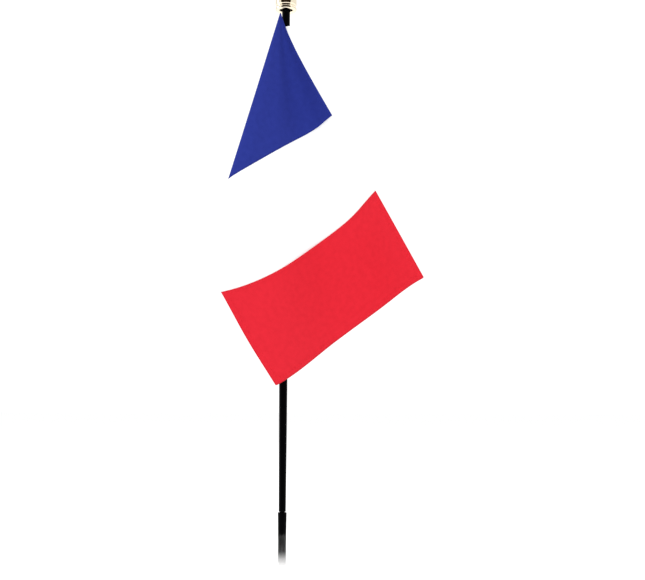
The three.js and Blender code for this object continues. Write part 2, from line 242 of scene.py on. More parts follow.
def makeWeaveGroup():
    # plain weave: warp and weft threads pass over each other in turn; coordinates are flat cloth in mm
    group, start, end = newGroup(
        "plainWeave",
        [("Flat", "NodeSocketVector", None), ("Pitch", "NodeSocketFloat", 0.3),
         ("Thread", "NodeSocketColor", (1, 1, 1, 1)), ("Gap", "NodeSocketColor", (0, 0, 0, 1))],
        [("Colour", "NodeSocketColor"), ("Height", "NodeSocketFloat"), ("Roughness", "NodeSocketFloat")],
    )
    split = group.nodes.new("ShaderNodeSeparateXYZ")
    group.links.new(start.outputs["Flat"], split.inputs[0])
    across = mathNode(group, "DIVIDE", split.outputs[0], start.outputs["Pitch"])
    down = mathNode(group, "DIVIDE", split.outputs[1], start.outputs["Pitch"])
    waves = []
    for first, second in ((across, down), (down, across)):
        half = mathNode(group, "MULTIPLY", first, math.pi)
        crest = mathNode(group, "ABSOLUTE", mathNode(group, "SINE", half))
        turn = mathNode(group, "MULTIPLY", mathNode(group, "FLOOR", first), math.pi)
        along = mathNode(group, "ADD", mathNode(group, "MULTIPLY", second, math.pi), turn)
        lift = spread(group, mathNode(group, "SINE", along), -1, 1, 0.35, 1)
        waves.append(mathNode(group, "MULTIPLY", mathNode(group, "POWER", crest, 0.6), lift))
    height = mathNode(group, "MAXIMUM", waves[0], waves[1])
    slub = noiseNode(group, start.outputs["Flat"], 0.35, 4.0)
    # painted shade: the colour darkens towards the gap colour where the threads dip between crossings; the
    # slub noise added on top is random tone
    shade = spread(group, height, 0.2, 0.9, 0, 1)
    mottled = mathNode(group, "ADD", shade, spread(group, slub, 0.3, 0.7, -0.3, 0.3))
    colour = mixColour(group, mottled, start.outputs["Gap"], start.outputs["Thread"])
    group.links.new(colour, end.inputs["Colour"])
    group.links.new(height, end.inputs["Height"])
    group.links.new(spread(group, mottled, 0, 1, 0.95, 0.72), end.inputs["Roughness"])
    return group


def makeHandlingGroup():
    # faint smears, dust and fine scratches left by hands, on gloss and plated pieces
    group, start, end = newGroup(
        "handlingMarks",
        [("Clean Roughness", "NodeSocketFloat", 0.2), ("Marked Roughness", "NodeSocketFloat", 0.4),
         ("Scale", "NodeSocketFloat", 60.0)],
        [("Roughness", "NodeSocketFloat"), ("Height", "NodeSocketFloat")],
    )
    place = group.nodes.new("ShaderNodeTexCoord")
    smear = noiseNode(group, place.outputs["Object"], start.outputs["Scale"], 4.0)
    stretch = group.nodes.new("ShaderNodeMapping")
    stretch.inputs["Scale"].default_value = (900, 900, 60)
    group.links.new(place.outputs["Object"], stretch.inputs["Vector"])
    scratch = noiseNode(group, stretch.outputs["Vector"], 1.0, 2.0)
    lines = spread(group, scratch, 0.62, 0.7, 0, 1)
    mask = mathNode(group, "MAXIMUM", spread(group, smear, 0.45, 0.75, 0, 1), lines)
    mask.node.use_clamp = True
    rough = group.nodes.new("ShaderNodeMix")
    group.links.new(mask, rough.inputs[0])
    group.links.new(start.outputs["Clean Roughness"], rough.inputs[2])
    group.links.new(start.outputs["Marked Roughness"], rough.inputs[3])
    group.links.new(rough.outputs[0], end.inputs["Roughness"])
    group.links.new(mathNode(group, "SUBTRACT", 1, lines), end.inputs["Height"])
    return group


def makeEdgeGroup():
    # lighter, rubbed colour where a surface turns sharply outwards
    group, start, end = newGroup(
        "rubbedEdges",
        [("Body", "NodeSocketColor", (1, 1, 1, 1)), ("Rubbed", "NodeSocketColor", (1, 1, 1, 1)),
         ("Amount", "NodeSocketFloat", 0.5)],
        [("Colour", "NodeSocketColor")],
    )
    geometry = group.nodes.new("ShaderNodeNewGeometry")
    place = group.nodes.new("ShaderNodeTexCoord")
    edge = spread(group, geometry.outputs["Pointiness"], 0.52, 0.6, 0, 1)
    broken = spread(group, noiseNode(group, place.outputs["Object"], 700.0, 5.0), 0.4, 0.6, 0, 1)
    mask = mathNode(group, "MULTIPLY", mathNode(group, "MULTIPLY", edge, broken), start.outputs["Amount"])
    colour = mixColour(group, mask, start.outputs["Body"], start.outputs["Rubbed"])
    group.links.new(colour, end.inputs["Colour"])
    return group


weaveGroup = makeWeaveGroup()
handlingGroup = makeHandlingGroup()
edgeGroup = makeEdgeGroup()
print("shared shader groups made")


# ---- finishes

def newFinish(name, **settings):
    material = bpy.data.materials.new(name)
    material.use_nodes = True
    tree = material.node_tree
    shader = tree.nodes["Principled BSDF"]
    for socketName, value in settings.items():
        shader.inputs[socketName.replace("_", " ")].default_value = value
    return material, tree, shader


def placeGroup(tree, group, **values):
    node = tree.nodes.new("ShaderNodeGroup")
    node.node_tree = group
    for socketName, value in values.items():
        node.inputs[socketName.replace("_", " ")].default_value = value
    return node


def bumpFrom(tree, shader, height, strength, distance):
    bump = tree.nodes.new("ShaderNodeBump")
    bump.inputs["Strength"].default_value = strength
    bump.inputs["Distance"].default_value = distance
    tree.links.new(height, bump.inputs["Height"])
    tree.links.new(bump.outputs["Normal"], shader.inputs["Normal"])


def clothFinish(name, thread, gap, pitch=0.3):
    material, tree, shader = newFinish(name, Sheen_Weight=0.02, Sheen_Roughness=0.5, Specular_IOR_Level=0.06)
    flat = tree.nodes.new("ShaderNodeUVMap")
    flat.uv_map = "cloth"
    scaled = tree.nodes.new("ShaderNodeMapping")
    scaled.inputs["Scale"].default_value = (100, 100, 100)   # the map holds tenths of a metre
    tree.links.new(flat.outputs[0], scaled.inputs["Vector"])
    weave = placeGroup(tree, weaveGroup, Pitch=pitch, Thread=thread, Gap=gap)
    tree.links.new(scaled.outputs["Vector"], weave.inputs["Flat"])
    tree.links.new(weave.outputs["Colour"], shader.inputs["Base Color"])
    tree.links.new(weave.outputs["Roughness"], shader.inputs["Roughness"])
    bumpFrom(tree, shader, weave.outputs["Height"], 0.35, 0.00008)
    return material


def glossFinish(name, colour, rubbed, clean, marked, gloss=0.5, metallic=0.0, scale=60.0, wear=0.4):
    material, tree, shader = newFinish(name, Specular_IOR_Level=gloss, Metallic=metallic)
    marks = placeGroup(tree, handlingGroup, Clean_Roughness=clean, Marked_Roughness=marked, Scale=scale)
    edges = placeGroup(tree, edgeGroup, Body=colour, Rubbed=rubbed, Amount=wear)
    tree.links.new(edges.outputs["Colour"], shader.inputs["Base Color"])
    tree.links.new(marks.outputs["Roughness"], shader.inputs["Roughness"])
    bumpFrom(tree, shader, marks.outputs["Height"], 0.03, 0.00002)
    return material


# each cloth's thread colour, and a darker gap colour that is painted shade in the weave's dips
clothColours = {
    "blue": {"thread": (0.0205, 0.0335, 0.2480, 1), "gap": (0.0165, 0.027, 0.205, 1)},
    "white": {"thread": (0.93, 0.93, 0.93, 1), "gap": (0.87, 0.87, 0.88, 1)},
    "red": {"thread": (0.69, 0.019, 0.0345, 1), "gap": (0.6, 0.0155, 0.028, 1)},
}

cloths = {}
for clothName, shades in clothColours.items():
    cloths[clothName] = clothFinish(clothName + "Cloth", shades["thread"], shades["gap"])

threads = {}
for clothName, shades in clothColours.items():
    colour = shades["thread"]
    threads[clothName] = glossFinish(clothName + "Thread", colour, colour, 0.6, 0.75, gloss=0.1, scale=400.0)

deepBlack = (0.0015, 0.0015, 0.0018, 1)
rubbedBlack = (0.01, 0.01, 0.01, 1)
staffBlack = glossFinish("staffGlossBlack", deepBlack, rubbedBlack, 0.08, 0.2, gloss=0.015)
plugBlack = glossFinish("plugSatinBlack", deepBlack, rubbedBlack, 0.2, 0.32, gloss=0.02)
giltPlating = glossFinish(
    "giltPlating", (0.88, 0.78, 0.6, 1), (0.93, 0.87, 0.74, 1), 0.06, 0.15,
    metallic=1.0, scale=140.0, wear=0.6,
)
collarPlastic = glossFinish("collarPlastic", (0.012, 0.012, 0.012, 1), (0.05, 0.05, 0.05, 1), 0.4, 0.55)
coverPlastic = glossFinish("coverPlastic", (0.78, 0.78, 0.76, 1), (0.9, 0.9, 0.88, 1), 0.45, 0.6)
turnedSteel = glossFinish("turnedSteel", (0.42, 0.43, 0.45, 1), (0.7, 0.7, 0.72, 1), 0.32, 0.5, metallic=1.0)
screwSteel = glossFinish("screwSteel", (0.58, 0.59, 0.6, 1), (0.8, 0.8, 0.82, 1), 0.2, 0.38, metallic=1.0)


# thin at the neck and see-through there, clouding to solid white lower down
opal = {
    "clearHeight": 35.4 * mm,
    "solidHeight": 15.0 * mm,
    "thin": 0.01,            # what is left of the white above clearHeight
    "paintedGlow": 0.25,            # painted light, not real: the plastic glows though it is no lamp, lifting it to the white of its surroundings
    "body": (0.93, 0.93, 0.925, 1),
    "rubbed": (0.97, 0.97, 0.97, 1),
}


def opalFinish():
    material, tree, shader = newFinish(
        "opalPlastic", Coat_Weight=0.2, Coat_Roughness=0.12, Emission_Strength=opal["paintedGlow"],
    )
    marks = placeGroup(tree, handlingGroup, Clean_Roughness=0.3, Marked_Roughness=0.42, Scale=40.0)
    edges = placeGroup(tree, edgeGroup, Body=opal["body"], Rubbed=opal["rubbed"], Amount=0.5)
    place = tree.nodes.new("ShaderNodeTexCoord")
    split = tree.nodes.new("ShaderNodeSeparateXYZ")
    tree.links.new(place.outputs["Object"], split.inputs[0])
    cloud = spread(tree, split.outputs[2], opal["clearHeight"], opal["solidHeight"], opal["thin"], 1)
    cloud.node.interpolation_type = "SMOOTHSTEP"
    tree.links.new(cloud, shader.inputs["Alpha"])
    tree.links.new(edges.outputs["Colour"], shader.inputs["Base Color"])
    tree.links.new(marks.outputs["Roughness"], shader.inputs["Roughness"])
    bumpFrom(tree, shader, marks.outputs["Height"], 0.03, 0.00002)
    return material


def feltFinish():
    material, tree, shader = newFinish("pressedFelt", Sheen_Weight=0.3, Sheen_Roughness=0.6)
    place = tree.nodes.new("ShaderNodeTexCoord")
    fibres = noiseNode(tree, place.outputs["Object"], 1800.0, 6.0)
    clumps = noiseNode(tree, place.outputs["Object"], 220.0, 3.0)
    fineShare = mathNode(tree, "MULTIPLY", fibres, 0.7)
    mottled = mathNode(tree, "ADD", fineShare, mathNode(tree, "MULTIPLY", clumps, 0.3))
    shade = spread(tree, mottled, 0.3, 0.7, 0, 1)
    colour = mixColour(tree, shade, (0.5, 0.5, 0.49, 1), (0.78, 0.78, 0.76, 1))
    tree.links.new(colour, shader.inputs["Base Color"])
    tree.links.new(spread(tree, mottled, 0.3, 0.7, 0.98, 0.88), shader.inputs["Roughness"])
    bumpFrom(tree, shader, mottled, 0.8, 0.0003)
    return material


opalPlastic = opalFinish()
pressedFelt = feltFinish()
print("finishes made")


# ---- base

base = {
    "wall": 2.0 * mm,
    "rim": 3.5 * mm,         # height of the upright edge
    "neckRadius": 4.2 * mm,
    "socketWall": 1.5 * mm,
    "boreShare": 0.75,       # the bore's foot to the plug's top, before the clearance
    "clearance": 0.3 * mm,
    "steps": 144,
    "ring": 0.35 * mm,       # moulded line just above the rim
}
footRadius = shellHigh.x
neckTop = shellHigh.z
rimBottom = shellLow.z
rimTop = rimBottom + base["rim"]


def domeLine(steps):
    # shares of the way in from the rim and of the way up
    run = footRadius - base["neckRadius"]
    rise = neckTop - rimTop
    shares = ((0, 0), (0.06, 0.1), (0.3, 0.33), (0.65, 0.57), (0.92, 0.82), (1, 1))
    return smoothLine([(footRadius - run * a, rimTop + rise * b) for a, b in shares], steps)


def makeShell():
    dome = domeLine(9)
    inner = []
    for before, here, after in zip(dome, dome[1:], dome[2:]):
        along = (after - before).normalized()
        point = Vector((here.x - along.y * base["wall"], here.y + along.x * base["wall"]))
        if point.x > plugHigh.x + base["socketWall"] + base["clearance"] and point.y > rimTop:
            inner.append(tuple(point))
    boreTop = plugHigh.x + base["clearance"]
    boreBottom = plugHigh.x * base["boreShare"] + base["clearance"]
    tubeRadius = boreTop + base["socketWall"]
    tubeBottom = plugLow.z - base["clearance"] - base["socketWall"]
    mouth = footRadius - base["wall"] + base["clearance"]
    ring = base["ring"]
    outline = [
        (0, tubeBottom),
        (tubeRadius, tubeBottom),
        (tubeRadius, inner[-1][1] - 0.5 * mm),
    ]
    outline += list(reversed(inner))
    outline += [
        (mouth, rimTop),
        (mouth, rimBottom),
        (footRadius - 0.5 * mm, rimBottom),
        (footRadius, rimBottom + 0.5 * mm),
        (footRadius, rimTop - ring * 1.5),
        (footRadius - ring, rimTop - ring),
        (footRadius - ring, rimTop - ring * 0.4),
    ]
    outline += [tuple(p) for p in dome[1:-1]]
    lip = base["neckRadius"]
    outline += [
        (lip + 0.1 * mm, neckTop - 1.2 * mm),
        (lip + 0.25 * mm, neckTop - 0.6 * mm),
        (lip, neckTop - 0.1 * mm),
        (lip - 0.4 * mm, neckTop),
        (boreTop + 0.4 * mm, neckTop),
        (boreTop, neckTop - 0.4 * mm),
        (boreBottom, plugLow.z - base["clearance"]),
        (0, plugLow.z - base["clearance"]),
    ]
    mesh = turned("moulded_shell", outline, base["steps"])
    return newPiece("moulded_shell", mesh, opalPlastic, "base", ["base_shell"])


felt = {
    "edgeWander": 0.12 * mm,
    "waves": 5,
    "corner": 0.35 * mm,
    "steps": 180,
    "seed": 4,
}


def makeFelt():
    radius = padHigh.x
    corner = felt["corner"]
    outline = softened([
        (0, padLow.z), (radius * 0.5, padLow.z), (radius, padLow.z), (radius, padHigh.z),
        (radius * 0.5, padHigh.z), (0, padHigh.z),
    ], corner, 4)
    mesh = turned("felt_pad", outline, felt["steps"])
    draw = random.Random(felt["seed"])
    phases = [draw.uniform(0, 2 * math.pi) for _ in range(felt["waves"])]
    for vertex in mesh.vertices:
        reach = math.hypot(vertex.co.x, vertex.co.y)
        if reach < radius - 2 * corner:
            continue
        turn = math.atan2(vertex.co.y, vertex.co.x)
        wander = sum(math.sin(turn * (7 + 11 * k) + phase) for k, phase in enumerate(phases)) / len(phases)
        factor = 1 - felt["edgeWander"] * (1 + wander) / reach
        vertex.co.x *= factor
        vertex.co.y *= factor
    piece = newPiece("felt_pad", mesh, pressedFelt, "base", ["foot_pad"])
    return piece


def dressNode(node, material):
    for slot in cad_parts[node].material_slots:
        slot.material = material


makeShell()
makeFelt()
dressNode("base_weight", turnedSteel)
dressNode("base_cover", coverPlastic)
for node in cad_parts:
    if node.startswith("weight_screw"):
        dressNode(node, screwSteel)
print("base made")


# ---- plug and staff

plug = {
    "edge": 0.35 * mm,
    "bottomShare": 0.735,    # its foot's radius to its top's
    "tenonBore": 1.5 * mm,
    "tenonDepth": 7.8 * mm,
    "steps": 72,
}


def makePlug():
    top, bottom = plugHigh.z, plugLow.z
    outline = softened([
        (0, bottom),
        (plugHigh.x * plug["bottomShare"], bottom),
        (plugHigh.x, top),
        (plug["tenonBore"], top),
        (plug["tenonBore"], top - plug["tenonDepth"]),
        (0, top - plug["tenonDepth"]),
    ], plug["edge"], 5)
    mesh = turned("plug", outline, plug["steps"])
    return newPiece("plug", mesh, plugBlack, "plug", ["plug_ferrule"])


staff = {
    "footRadius": 1.8 * mm,
    "tenon": 1.2 * mm,
    "taper": 62 * mm,        # from the shoulder to where it is full thickness
    "clearance": 0.3 * mm,
    "edge": 0.3 * mm,
    "steps": 72,
}


def makeStaff():
    shoulder = plugHigh.z + staff["clearance"]
    radius = staffHigh.x
    outline = softened([
        (0, staffLow.z),
        (staff["tenon"], staffLow.z),
        (staff["tenon"], shoulder),
        (staff["footRadius"], shoulder),
        (staff["footRadius"] + 0.02 * mm, shoulder + 1 * mm),
        (radius, shoulder + staff["taper"]),
        (radius, shoulder + staff["taper"] + 40 * mm),
        (radius, staffHigh.z - 20 * mm),
        (radius, staffHigh.z),
        (0, staffHigh.z),
    ], staff["edge"], 4)
    mesh = turned("black_staff", outline, staff["steps"])
    return newPiece("black_staff", mesh, staffBlack, "staff", ["staff"])


makePlug()
makeStaff()
print("plug and staff made")


# ---- finial

cup = {
    "wall": 0.5 * mm,
    "bead": 1.1 * mm,        # radius of the rolled rim
    "groove": 0.35 * mm,
    "stemHole": 1.8 * mm,    # for the spear's stud
    "steps": 128,
}
spear = {
    "halfWidth": 5.2 * mm,
    "flatness": 0.42,        # its thickness to its width
    "footRadius": 3.4 * mm,
    "stud": 1.5 * mm,
    "clearance": 0.3 * mm,
    "ridge": 0.55,           # how far the leaf's section leans from an oval towards a diamond
    "steps": 96,
}


def arcLine(centre, radius, start, finish, steps):
    line = []
    for i in range(steps + 1):
        turn = math.radians(start + (finish - start) * i / steps)
        line.append((centre[0] + radius * math.cos(turn), centre[1] + radius * math.sin(turn)))
    return line


def makeCup():
    radius, mouth, top = cupHigh.x, cupLow.z, cupHigh.z
    inner = radius - cup["wall"]
    bead = cup["bead"]
    grooveAt = mouth + 2 * bead + 0.4 * mm
    outline = arcLine((radius - bead, mouth + bead), bead, 200, 420, 22)
    outline += [
        (radius - cup["groove"] * 1.6, grooveAt - 0.12 * mm),
        (radius - cup["groove"] * 1.6, grooveAt + 0.12 * mm),
        (radius - cup["groove"] * 0.6, grooveAt + 0.4 * mm),
        (radius - 0.12 * mm, grooveAt + 0.62 * mm),
        (radius, grooveAt + 0.9 * mm),
        (radius, mouth + (top - mouth) * 0.6),
        (radius, top - 0.9 * mm),
        (radius - 0.1 * mm, top - 0.45 * mm),
        (radius - 0.35 * mm, top - 0.15 * mm),
        (radius - 0.8 * mm, top),
        (cup["stemHole"] + 0.2 * mm, top),
        (cup["stemHole"], top - 0.2 * mm),
        (cup["stemHole"], top - 2 * cup["wall"]),
        (inner - 0.6 * mm, top - 2 * cup["wall"]),
        (inner - 0.6 * mm, grooveAt),
        (inner - 0.5 * mm, mouth + bead),
    ]
    mesh = turned("gilt_cup", outline, cup["steps"], closed=True)
    return newPiece("gilt_cup", mesh, giltPlating, "finial", ["finial_cup"], smoothAngle=50)


def makeSpear():
    footBottom = cupHigh.z + spear["clearance"]
    height = spearHigh.z - footBottom
    footTop = footBottom + 0.16 * height
    half = spear["halfWidth"]
    blade = smoothLine([
        (1.5 * mm, footTop),
        (0.62 * half, footTop + 0.14 * height),
        (half, footTop + 0.32 * height),
        (0.6 * half, footTop + 0.58 * height),
        (0.3 * mm, spearHigh.z - 0.25 * mm),
    ], 14)
    foot = [
        (0, spearLow.z),
        (spear["stud"], spearLow.z + 0.1 * mm),
        (spear["stud"], footBottom),
        (spear["footRadius"] - 0.5 * mm, footBottom),
    ]
    foot += arcLine((spear["footRadius"] - 0.8 * mm, footBottom + 0.8 * mm), 0.8 * mm, -60, 80, 10)
    foot += [
        (2.3 * mm, footTop - 1.9 * mm),
        (2.45 * mm, footTop - 1.4 * mm),
        (2.2 * mm, footTop - 0.9 * mm),
        (1.6 * mm, footTop - 0.5 * mm),
    ]
    line = foot + [tuple(p) for p in blade] + [(0, spearHigh.z)]
    mesh = turned("gilt_spear", line, spear["steps"])
    for vertex in mesh.vertices:
        # above the round foot it turns into a flat leaf over an eighth or so of the height
        share = min(max((vertex.co.z - footTop + 0.3 * mm) / (0.12 * height), 0), 1)
        share = share * share * (3 - 2 * share)
        reach = math.hypot(vertex.co.x, vertex.co.y)
        if reach < 1e-7 or share == 0:
            continue
        turn = math.atan2(vertex.co.y, vertex.co.x)
        flat = spear["flatness"]
        oval = Vector((math.cos(turn), flat * math.sin(turn)))
        diamond = 1 / (abs(math.cos(turn)) + abs(math.sin(turn)))
        cut = Vector((diamond * math.cos(turn), flat * diamond * math.sin(turn)))
        shaped = oval.lerp(cut, spear["ridge"]) * reach
        vertex.co.x += (shaped.x - vertex.co.x) * share
        vertex.co.y += (shaped.y - vertex.co.y) * share
    return newPiece("gilt_spear", mesh, giltPlating, "finial", ["finial_spear"], smoothAngle=55)


makeCup()
makeSpear()
dressNode("finial_collar", collarPlastic)
print("finial made")


# ---- flag

flag = {
    "width": 101.6,          # lengths are in mm of flat cloth
    "blue": 64.7,            # from the hoist to the first seam
    "white": 46.4,
    "red": 50.8,
    "thickness": 0.3,
    "cornerDrop": 1.9,       # under the cup
    "cornerReach": 4.56,     # out from the staff's axis
    "cornerBearing": -127.9,
    "gather": 36,            # the cloth is pressed flat down to here
    "bows": (-1.1, 3.8, -1.5),     # of the two seams and the fly edge, halfway down
    "skews": (2.9, 2.8, 3.5),      # back above that and out below it
    "bottomBow": 3.6,
    "biasStretch": 0.041,
    "sag": 12.4,             # degrees by which the top edge hangs steeper at its corner
    "sagLength": 35,
    "sagAngle": 45,
    "rippleHeight": (0.22, 0.1),
    "rows": 160,
    "hoistRows": 90,         # rays of the blue panel from its seam's foot round to the hoist
    "columns": {"blue": 44, "white": 34, "red": 36},
    "rayStart": 0.4,         # the blue panel's rays start this far from the corner
    "hem": 3.2,
    "hemFold": 0.12,         # how far the turned edge bulges past the sheet's
    "hemStep": 0.34,         # from the sheet to the turned layer behind it
    "topHemStart": 14,       # the corner is too gathered for a hem
    "bottomHemStart": 2,
    "lapInset": 0.4,         # of a seam's lap from the seam and from the top and bottom edges
    "flyInset": 0.3,
    "hemRow": 2.3,           # from an edge to its row of stitches
    "seamRow": 1.3,
    "hoistRow": 1.8,
}

# the swing from straight down and the lean to the front, round the corner from top edge to hoist
drape = [
    (27.0, 7.9), (18.0, 0.5), (10.3, 0.4), (0.4, 7.8), (-4.0, 10.3), (-10.5, 14.0), (-14.2, 14.1),
    (-13.9, 12.4), (-10.2, 2.2), (-11.4, -9.5), (-7.4, -12.2), (-3.2, -9.8), (-1.5, -2.5),
]
redStart = flag["blue"] + flag["white"]
flagEnd = redStart + flag["red"]

drapeLine = smoothLine([(a, b, 0) for a, b in drape], 40, 0.5)
drapeLengths = [0.0]
for before, after in zip(drapeLine, drapeLine[1:]):
    drapeLengths.append(drapeLengths[-1] + (after - before).length)

bearing = math.radians(flag["cornerBearing"])
topCorner = Vector((
    flag["cornerReach"] * math.cos(bearing) * mm,
    flag["cornerReach"] * math.sin(bearing) * mm,
    cupLow.z - flag["cornerDrop"] * mm,
))


def wayAt(angle, reach):
    # the direction out of the corner: the angle's share of the curve, less the top edge's sag
    target = min(max(angle / (math.pi / 2), 0), 1) * drapeLengths[-1]
    low, high = 0, len(drapeLengths) - 1
    while high - low > 1:
        middle = (low + high) // 2
        if drapeLengths[middle] <= target:
            low = middle
        else:
            high = middle
    share = (target - drapeLengths[low]) / (drapeLengths[high] - drapeLengths[low])
    at = drapeLine[low].lerp(drapeLine[high], share)
    sagShare = max(1 - math.degrees(angle) / flag["sagAngle"], 0)
    sag = flag["sag"] * math.exp(-reach / flag["sagLength"]) * sagShare
    swing, lean = math.radians(at.x - sag), math.radians(at.y)
    return Vector((
        math.sin(swing) * math.cos(lean),
        -math.sin(lean),
        -math.cos(swing) * math.cos(lean),
    ))


def faceAt(angle, reach):
    # square to the cloth, to its back
    step = 0.01
    change = wayAt(min(angle + step, math.pi / 2), reach) - wayAt(max(angle - step, 0), reach)
    return wayAt(angle, reach).cross(change).normalized()


def alongFlag(values, along):
    stations = [(0, 0), (flag["blue"], values[0]), (redStart, values[1]), (flagEnd, values[2])]
    for (low, lowValue), (high, highValue) in zip(stations, stations[1:]):
        if along <= high:
            return lowValue + (highValue - lowValue) * (along - low) / (high - low)
    return stations[-1][1]


def ripple(angle, reach):
    # slight unevenness of hung cloth, growing away from the corner
    broad, narrow = flag["rippleHeight"]
    soft = broad * math.sin(angle * 9 + 0.6) + narrow * math.sin(angle * 17 + 2.1)
    return soft * min(reach / 120, 1.2) * math.sin(reach * 0.03 + angle)


def hung(along, down, offset=0.0):
    # a point of the flat cloth, in mm along from the hoist and down from the top edge, where it hangs
    across, lengthwise = down / flag["width"], along / flagEnd
    bow = alongFlag(flag["bows"], along) + alongFlag(flag["skews"], along) * (2 * across - 1)
    bowed = along + 4 * across * (1 - across) * bow
    dropped = down + 4 * lengthwise * (1 - lengthwise) * flag["bottomBow"] * across
    angle = math.atan2(dropped, bowed)
    reach = math.hypot(bowed, dropped) * (1 + flag["biasStretch"] * math.sin(2 * angle))
    out = (offset + ripple(angle, reach)) * min(reach / flag["gather"], 1)
    return topCorner + wayAt(angle, reach) * (reach * mm) + faceAt(angle, reach) * (out * mm)


def thicken(piece):
    modifier = piece.modifiers.new("thickness", "SOLIDIFY")
    modifier.thickness = flag["thickness"] * mm
    modifier.offset = 0


class Cloth:
    # grids of flat points collected into one mesh

    def __init__(self):
        self.points, self.uvs, self.faces = [], [], []

    def grid(self, columns, rows, flatAt):
        # flatAt gives along, down and, for a turned layer, how far it lies behind the sheet
        first = len(self.points)
        for row in range(rows + 1):
            for column in range(columns + 1):
                along, down, *behind = flatAt(column / columns, row / rows)
                self.points.append(hung(along, down, *behind))
                self.uvs.append((along / 100, down / 100))
        for row in range(rows):
            for column in range(columns):
                a = first + row * (columns + 1) + column
                self.faces.append((a, a + 1, a + columns + 2, a + columns + 1))

    def hem(self, edgeAt, inward, steps):
        # the edge turned over to the back: round its fold and then flat against the sheet
        fold, depthAll = flag["hemFold"], flag["hem"]
        turn = [(0, 0), (-fold, 0.5), (0.15, 1), (depthAll * 0.5, 1), (depthAll, 1)]

        def flatAt(s, t):
            along, down = edgeAt(t)
            depth, share = turn[round(s * (len(turn) - 1))]
            return along + inward[0] * depth, down + inward[1] * depth, share * flag["hemStep"]

        self.grid(len(turn) - 1, steps, flatAt)

    def piece(self, name, colour, node, length):
        mesh = meshFrom(name, self.points, self.faces, self.uvs)
        piece = newPiece(name, mesh, cloths[colour], "flag", [node], smoothAngle=180)
        thicken(piece)
        return piece


def lengthwiseHems(cloth, start, end, steps):
    width = flag["width"]
    cloth.hem(lambda t: (start + (end - start) * t, 0), (0, 1), steps)
    cloth.hem(lambda t: (start + (end - start) * t, width), (0, -1), steps)


def seamLap(cloth, seam):
    # what is left of a panel beyond its seam, behind its neighbour
    inset = flag["lapInset"]

    def flatAt(s, t):
        return seam - inset + flag["hem"] * s, inset + (flag["width"] - 2 * inset) * t, flag["hemStep"]

    cloth.grid(3, flag["rows"], flatAt)


def makePanel(name, colour, node, start, end, last):
    width, rows, inset = flag["width"], flag["rows"], flag["flyInset"]
    columns = flag["columns"][colour]
    cloth = Cloth()
    cloth.grid(columns, rows, lambda s, t: (start + (end - start) * s, width * t))
    lengthwiseHems(cloth, start, end, columns)
    if last:
        cloth.hem(lambda t: (end, inset + (width - 2 * inset) * t), (-1, 0), rows)
    else:
        seamLap(cloth, end)
    return cloth.piece(name, colour, node, end - start)


def makeHoistPanel():
    # rays from the gathered corner to the seam, then on round to the bottom edge and the hoist
    width, seam, rayStart = flag["width"], flag["blue"], flag["rayStart"]
    cornerAngle = math.atan2(width, seam)
    seamRows, hoistRows = flag["rows"], flag["hoistRows"]
    columns, topStart, bottomStart = flag["columns"]["blue"], flag["topHemStart"], flag["bottomHemStart"]

    def flatAt(s, t):
        row = t * (seamRows + hoistRows)
        if row <= seamRows:
            angle = math.atan2(width * row / seamRows, seam)
            edge = seam / math.cos(angle)
        else:
            angle = cornerAngle + (math.pi / 2 - cornerAngle) * (row - seamRows) / hoistRows
            edge = width / math.sin(angle)
        reach = rayStart + (edge - rayStart) * s
        return reach * math.cos(angle), reach * math.sin(angle)

    cloth = Cloth()
    cloth.grid(columns, seamRows + hoistRows, flatAt)
    cloth.hem(lambda t: (topStart + (seam - topStart) * t, 0), (0, 1), columns - 4)
    cloth.hem(lambda t: (bottomStart + (seam - bottomStart) * t, width), (0, -1), columns)
    seamLap(cloth, seam)
    return cloth.piece("blue_panel", "blue", "flag_blue", seam)


stitch = {
    "length": 1.5,           # lengths are in mm
    "pitch": 2.1,
    "radius": 0.11,
    "rise": 0.16,            # its crown above its ends
    "sink": 0.08,            # its ends below the face of the cloth
    "start": 0.3,
    "sides": 6,
    "rings": 7,
}


def makeStitching(name, colour, runs):
    # single stitches along flat lines, on both faces; each dips into the cloth at its ends
    points, faces = [], []
    for (fromAlong, fromDown), (toAlong, toDown) in runs:
        length = math.hypot(toAlong - fromAlong, toDown - fromDown)
        count = int(length / stitch["pitch"])
        for side in (1, -1):
            surface = flag["thickness"] / 2 + (flag["hemStep"] if side == 1 else 0)
            for k in range(count):
                line = []
                for r in range(stitch["rings"]):
                    share = r / (stitch["rings"] - 1)
                    t = (k * stitch["pitch"] + stitch["start"] + stitch["length"] * share) / length
                    along = fromAlong + (toAlong - fromAlong) * t
                    down = fromDown + (toDown - fromDown) * t
                    rise = math.sin(math.pi * share) * stitch["rise"] - stitch["sink"]
                    line.append(hung(along, down, side * (surface + rise)))
                addThread(points, faces, line)
    mesh = meshFrom(name, points, faces)
    return newPiece(name, mesh, threads[colour], "flag")


def addThread(points, faces, line):
    sides, radius = stitch["sides"], stitch["radius"] * mm
    first = len(points)
    for i, at in enumerate(line):
        along = (line[min(i + 1, len(line) - 1)] - line[max(i - 1, 0)]).normalized()
        across = along.orthogonal().normalized()
        up = along.cross(across)
        for k in range(sides):
            turn = 2 * math.pi * k / sides
            points.append(at + across * (radius * math.cos(turn)) + up * (radius * math.sin(turn)))
    for i in range(len(line) - 1):
        for k in range(sides):
            a, b = first + i * sides + k, first + i * sides + (k + 1) % sides
            faces.append((a, b, b + sides, a + sides))
    faces.append(tuple(first + k for k in reversed(range(sides))))
    faces.append(tuple(first + (len(line) - 1) * sides + k for k in range(sides)))


sleeve = {
    "inner": 0.06,           # the gap to the staff; lengths are in mm
    "thickness": 0.26,
    "slack": 0.07,
    "slant": 0.9,            # the top edge runs lower towards -X
    "lap": 3.0,              # of the web behind the blue panel
    "webRows": 100,
    "webInset": 2.5,         # the web starts this far below the sleeve's top
    "webGap": 0.05,
    "webEnd": 0.6,
    "steps": 56,
    "rows": 110,
}


